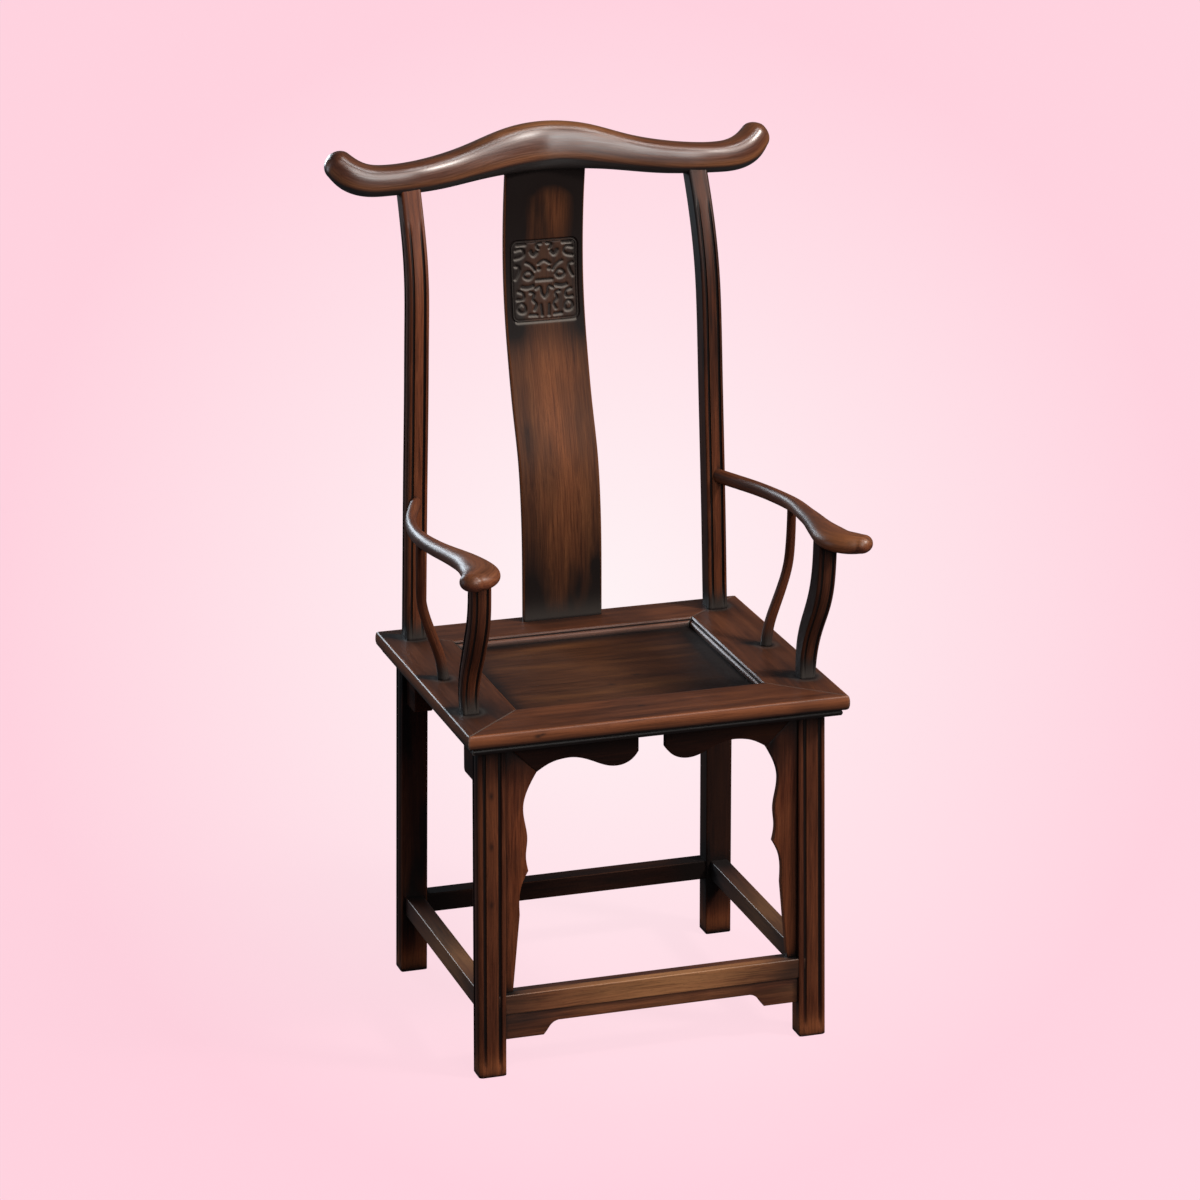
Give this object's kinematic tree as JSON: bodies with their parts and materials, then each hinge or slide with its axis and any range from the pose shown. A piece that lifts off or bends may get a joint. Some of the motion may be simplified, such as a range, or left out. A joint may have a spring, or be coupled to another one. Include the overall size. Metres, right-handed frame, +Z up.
{
  "type": "yoke back armchair",
  "caption": "Tall hardwood armchair with a yoke-shaped crest rail, carved S-curved splat, open curved arms and a mitred frame seat on moulded legs.",
  "frame": {"origin": "on the floor, under the middle of the whole chair", "axes": "+Z up, the sitter faces -Y, +X is on the right seen from the front"},
  "size_m": [0.647, 0.5876, 1.2083],
  "materials": {
    "dark_wood": "dark walnut-brown hardwood, worn satin polish",
    "worn_wood": "dark hardwood rubbed lighter and glossier by hands and feet",
    "panel_wood": "dark wide board, straight grain, soft worn polish",
    "peg_wood": "hardwood pegs, end grain"
  },
  "bodies": {
    "root": {"crest_rail": "dark_wood", "splat": "dark_wood", "back_post_left": "dark_wood", "back_post_right": "dark_wood", "front_leg_left": "dark_wood", "front_leg_right": "dark_wood", "arm_left": "worn_wood", "arm_right": "worn_wood", "arm_front_post_left": "dark_wood", "arm_front_post_right": "dark_wood", "arm_side_post_left": "dark_wood", "arm_side_post_right": "dark_wood", "seat_rail_front": "worn_wood", "seat_rail_back": "dark_wood", "seat_rail_left": "worn_wood", "seat_rail_right": "worn_wood", "seat_panel": "panel_wood", "seat_batten_left": "dark_wood", "seat_batten_right": "dark_wood", "apron_head_left": "dark_wood", "apron_head_right": "dark_wood", "apron_stile_left": "dark_wood", "apron_stile_right": "dark_wood", "front_bracket_left": "dark_wood", "front_bracket_right": "dark_wood", "rear_bracket_left": "dark_wood", "rear_bracket_right": "dark_wood", "front_stretcher": "worn_wood", "front_stretcher_apron": "dark_wood", "rear_stretcher": "dark_wood", "side_stretcher_left": "worn_wood", "side_stretcher_right": "worn_wood", "crest_pegs": "peg_wood", "seat_corner_pegs": "peg_wood"}
  },
  "joints": []
}
